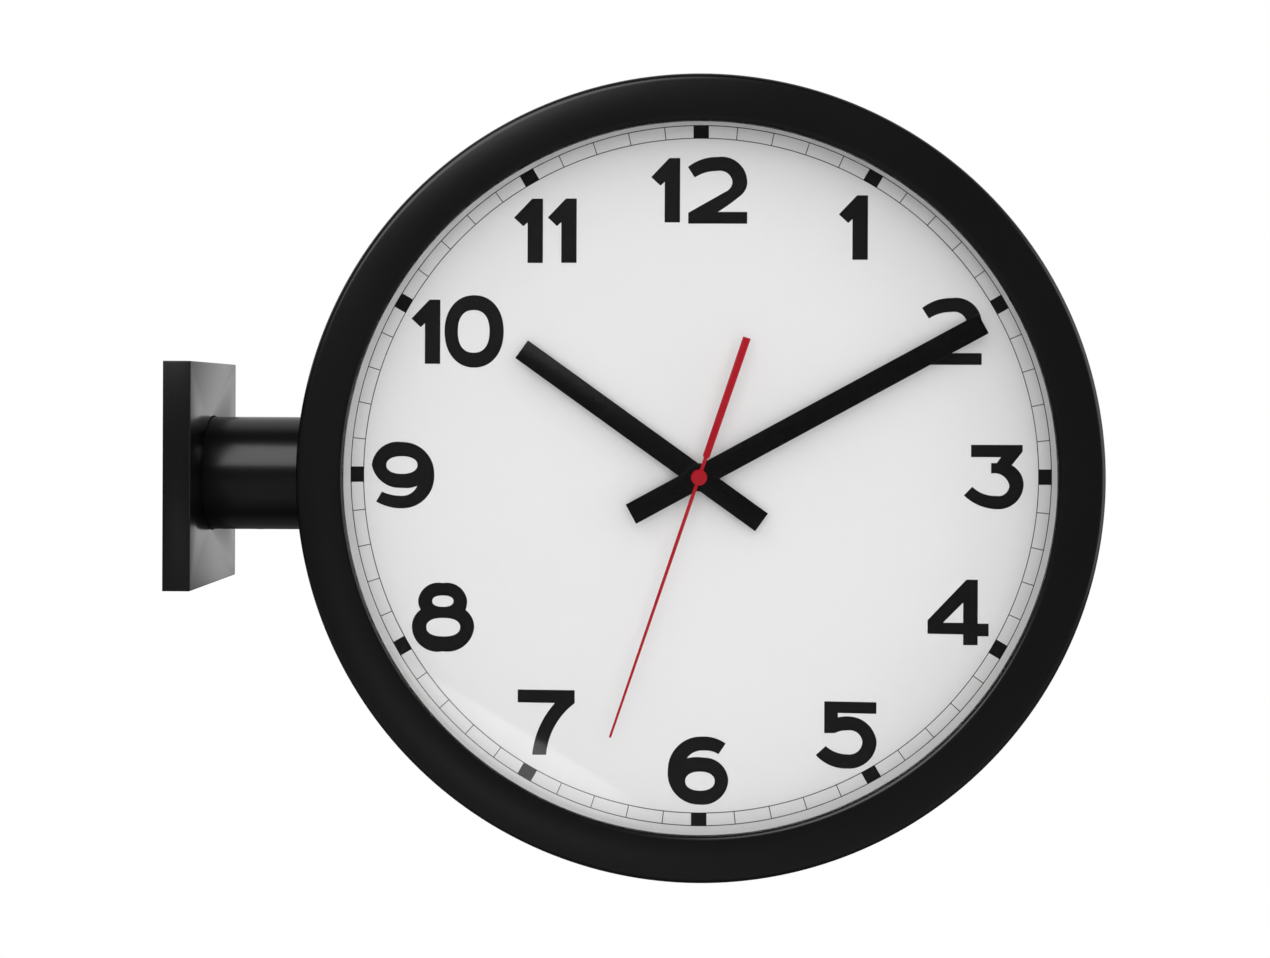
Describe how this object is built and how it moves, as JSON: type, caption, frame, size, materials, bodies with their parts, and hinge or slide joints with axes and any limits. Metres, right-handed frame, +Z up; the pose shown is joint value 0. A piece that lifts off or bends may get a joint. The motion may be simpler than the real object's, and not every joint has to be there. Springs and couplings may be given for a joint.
{
  "type": "double sided station clock",
  "caption": "Round wall clock held out on a side arm, with a dial, hands and quartz movement on each face and a covered wall bracket.",
  "frame": {"origin": "centre of the wall bracket's four-hole pattern, on the wall plane at the back of the wall cover", "axes": "+X runs out from the wall along the arm, +Z is up, and the front dial faces -Y"},
  "size_m": [0.4075, 0.1, 0.35],
  "materials": {
    "black_coating": "satin black powder coat",
    "zinc_steel": "zinc plated",
    "black_screws": "black oxide",
    "brass": "turned",
    "black_rubber": "matte",
    "nickel_spring": "nickel plated",
    "clear_lens": "clear, polished",
    "black_plastic": "moulded",
    "white_dial": "matte white print ground",
    "cell_jacket": "plain printed foil",
    "green_board": "solder mask",
    "copper_wire": "enamelled wire",
    "white_plastic": "moulded",
    "dark_magnet": "sintered magnet",
    "black_hand": "satin black",
    "red_hand": "satin red"
  },
  "bodies": {
    "clock": {"wall_bracket": "zinc_steel", "wall_cover": "black_coating", "cover_screws": "black_screws", "arm_tube": "black_coating", "arm_set_screws": "black_screws", "arm_end_block": "zinc_steel", "saddle_plate": "zinc_steel", "arm_bolts": "zinc_steel", "head_shell": "black_coating", "bezel_screws": "black_screws", "fixing_nuts": "brass", "dial_washers": "brass", "case_gaskets": "black_rubber", "battery_contacts": "nickel_spring", "front_bezel": "black_coating", "front_lens": "clear_lens", "front_lens_gasket": "black_rubber", "front_spacer_ring": "white_plastic", "front_dial": "white_dial", "front_movement_case": "black_plastic", "front_movement_cover": "black_plastic", "front_battery": "cell_jacket", "front_circuit_board": "green_board", "front_coil": "copper_wire", "front_stator": "zinc_steel", "rear_bezel": "black_coating", "rear_lens": "clear_lens", "rear_lens_gasket": "black_rubber", "rear_spacer_ring": "white_plastic", "rear_dial": "white_dial", "rear_movement_case": "black_plastic", "rear_movement_cover": "black_plastic", "rear_battery": "cell_jacket", "rear_circuit_board": "green_board", "rear_coil": "copper_wire", "rear_stator": "zinc_steel"},
    "front_seconds": {"front_second_hand": "red_hand", "front_second_wheel": "white_plastic"},
    "front_minutes": {"front_minute_hand": "black_hand", "front_cannon_pinion": "brass"},
    "front_hours": {"front_hour_hand": "black_hand", "front_hour_wheel": "white_plastic"},
    "front_motion": {"front_motion_wheel": "white_plastic"},
    "front_setting": {"front_setting_knob": "black_plastic"},
    "front_third": {"front_third_wheel": "white_plastic"},
    "front_centre": {"front_centre_wheel": "white_plastic"},
    "front_intermediate": {"front_intermediate_wheel": "white_plastic"},
    "front_rotor": {"front_rotor": "dark_magnet"},
    "rear_seconds": {"rear_second_hand": "red_hand", "rear_second_wheel": "white_plastic"},
    "rear_minutes": {"rear_minute_hand": "black_hand", "rear_cannon_pinion": "brass"},
    "rear_hours": {"rear_hour_hand": "black_hand", "rear_hour_wheel": "white_plastic"},
    "rear_motion": {"rear_motion_wheel": "white_plastic"},
    "rear_setting": {"rear_setting_knob": "black_plastic"},
    "rear_third": {"rear_third_wheel": "white_plastic"},
    "rear_centre": {"rear_centre_wheel": "white_plastic"},
    "rear_intermediate": {"rear_intermediate_wheel": "white_plastic"},
    "rear_rotor": {"rear_rotor": "dark_magnet"}
  },
  "joints": [
    {"name": "front_second_hand_turn", "type": "hinge", "parent": "clock", "child": "front_seconds", "pos_m": [0.2325, -0.02, 0], "axis": [0, 1, 0], "continuous": true},
    {"name": "front_minute_hand_turn", "type": "hinge", "parent": "clock", "child": "front_minutes", "pos_m": [0.2325, -0.02, 0], "axis": [0, 1, 0], "continuous": true},
    {"name": "front_hour_hand_turn", "type": "hinge", "parent": "clock", "child": "front_hours", "pos_m": [0.2325, -0.02, 0], "axis": [0, 1, 0], "continuous": true},
    {"name": "front_motion_wheel_turn", "type": "hinge", "parent": "clock", "child": "front_motion", "pos_m": [0.24289, -0.02, 0.006], "axis": [0, 1, 0], "continuous": true},
    {"name": "front_setting_knob_turn", "type": "hinge", "parent": "clock", "child": "front_setting", "pos_m": [0.25102, -0.02, 0.01413], "axis": [0, 1, 0], "continuous": true},
    {"name": "front_third_wheel_turn", "type": "hinge", "parent": "clock", "child": "front_third", "pos_m": [0.2219, -0.02, 0.00612], "axis": [0, 1, 0], "continuous": true},
    {"name": "front_centre_wheel_turn", "type": "hinge", "parent": "clock", "child": "front_centre", "pos_m": [0.2325, -0.02, 0], "axis": [0, 1, 0], "continuous": true},
    {"name": "front_intermediate_wheel_turn", "type": "hinge", "parent": "clock", "child": "front_intermediate", "pos_m": [0.23498, -0.02, 0.00927], "axis": [0, 1, 0], "continuous": true},
    {"name": "front_rotor_turn", "type": "hinge", "parent": "clock", "child": "front_rotor", "pos_m": [0.23353, -0.02, 0.01755], "axis": [0, 1, 0], "continuous": true},
    {"name": "rear_second_hand_turn", "type": "hinge", "parent": "clock", "child": "rear_seconds", "pos_m": [0.2325, 0.02, 0], "axis": [0, -1, 0], "continuous": true},
    {"name": "rear_minute_hand_turn", "type": "hinge", "parent": "clock", "child": "rear_minutes", "pos_m": [0.2325, 0.02, 0], "axis": [0, -1, 0], "continuous": true},
    {"name": "rear_hour_hand_turn", "type": "hinge", "parent": "clock", "child": "rear_hours", "pos_m": [0.2325, 0.02, 0], "axis": [0, -1, 0], "continuous": true},
    {"name": "rear_motion_wheel_turn", "type": "hinge", "parent": "clock", "child": "rear_motion", "pos_m": [0.22211, 0.02, 0.006], "axis": [0, -1, 0], "continuous": true},
    {"name": "rear_setting_knob_turn", "type": "hinge", "parent": "clock", "child": "rear_setting", "pos_m": [0.21398, 0.02, 0.01413], "axis": [0, -1, 0], "continuous": true},
    {"name": "rear_third_wheel_turn", "type": "hinge", "parent": "clock", "child": "rear_third", "pos_m": [0.2431, 0.02, 0.00612], "axis": [0, -1, 0], "continuous": true},
    {"name": "rear_centre_wheel_turn", "type": "hinge", "parent": "clock", "child": "rear_centre", "pos_m": [0.2325, 0.02, 0], "axis": [0, -1, 0], "continuous": true},
    {"name": "rear_intermediate_wheel_turn", "type": "hinge", "parent": "clock", "child": "rear_intermediate", "pos_m": [0.23002, 0.02, 0.00927], "axis": [0, -1, 0], "continuous": true},
    {"name": "rear_rotor_turn", "type": "hinge", "parent": "clock", "child": "rear_rotor", "pos_m": [0.23147, 0.02, 0.01755], "axis": [0, -1, 0], "continuous": true}
  ],
  "couplings": [
    {"joint": "front_third_wheel_turn", "follows": "front_second_hand_turn", "ratio": -0.13333},
    {"joint": "front_centre_wheel_turn", "follows": "front_second_hand_turn", "ratio": 0.016667},
    {"joint": "front_intermediate_wheel_turn", "follows": "front_second_hand_turn", "ratio": -5},
    {"joint": "front_rotor_turn", "follows": "front_second_hand_turn", "ratio": 30},
    {"joint": "front_motion_wheel_turn", "follows": "front_minute_hand_turn", "ratio": -0.33333},
    {"joint": "front_hour_hand_turn", "follows": "front_minute_hand_turn", "ratio": 0.083333},
    {"joint": "front_setting_knob_turn", "follows": "front_minute_hand_turn", "ratio": 1.2},
    {"joint": "rear_third_wheel_turn", "follows": "rear_second_hand_turn", "ratio": -0.13333},
    {"joint": "rear_centre_wheel_turn", "follows": "rear_second_hand_turn", "ratio": 0.016667},
    {"joint": "rear_intermediate_wheel_turn", "follows": "rear_second_hand_turn", "ratio": -5},
    {"joint": "rear_rotor_turn", "follows": "rear_second_hand_turn", "ratio": 30},
    {"joint": "rear_motion_wheel_turn", "follows": "rear_minute_hand_turn", "ratio": -0.33333},
    {"joint": "rear_hour_hand_turn", "follows": "rear_minute_hand_turn", "ratio": 0.083333},
    {"joint": "rear_setting_knob_turn", "follows": "rear_minute_hand_turn", "ratio": 1.2}
  ]
}
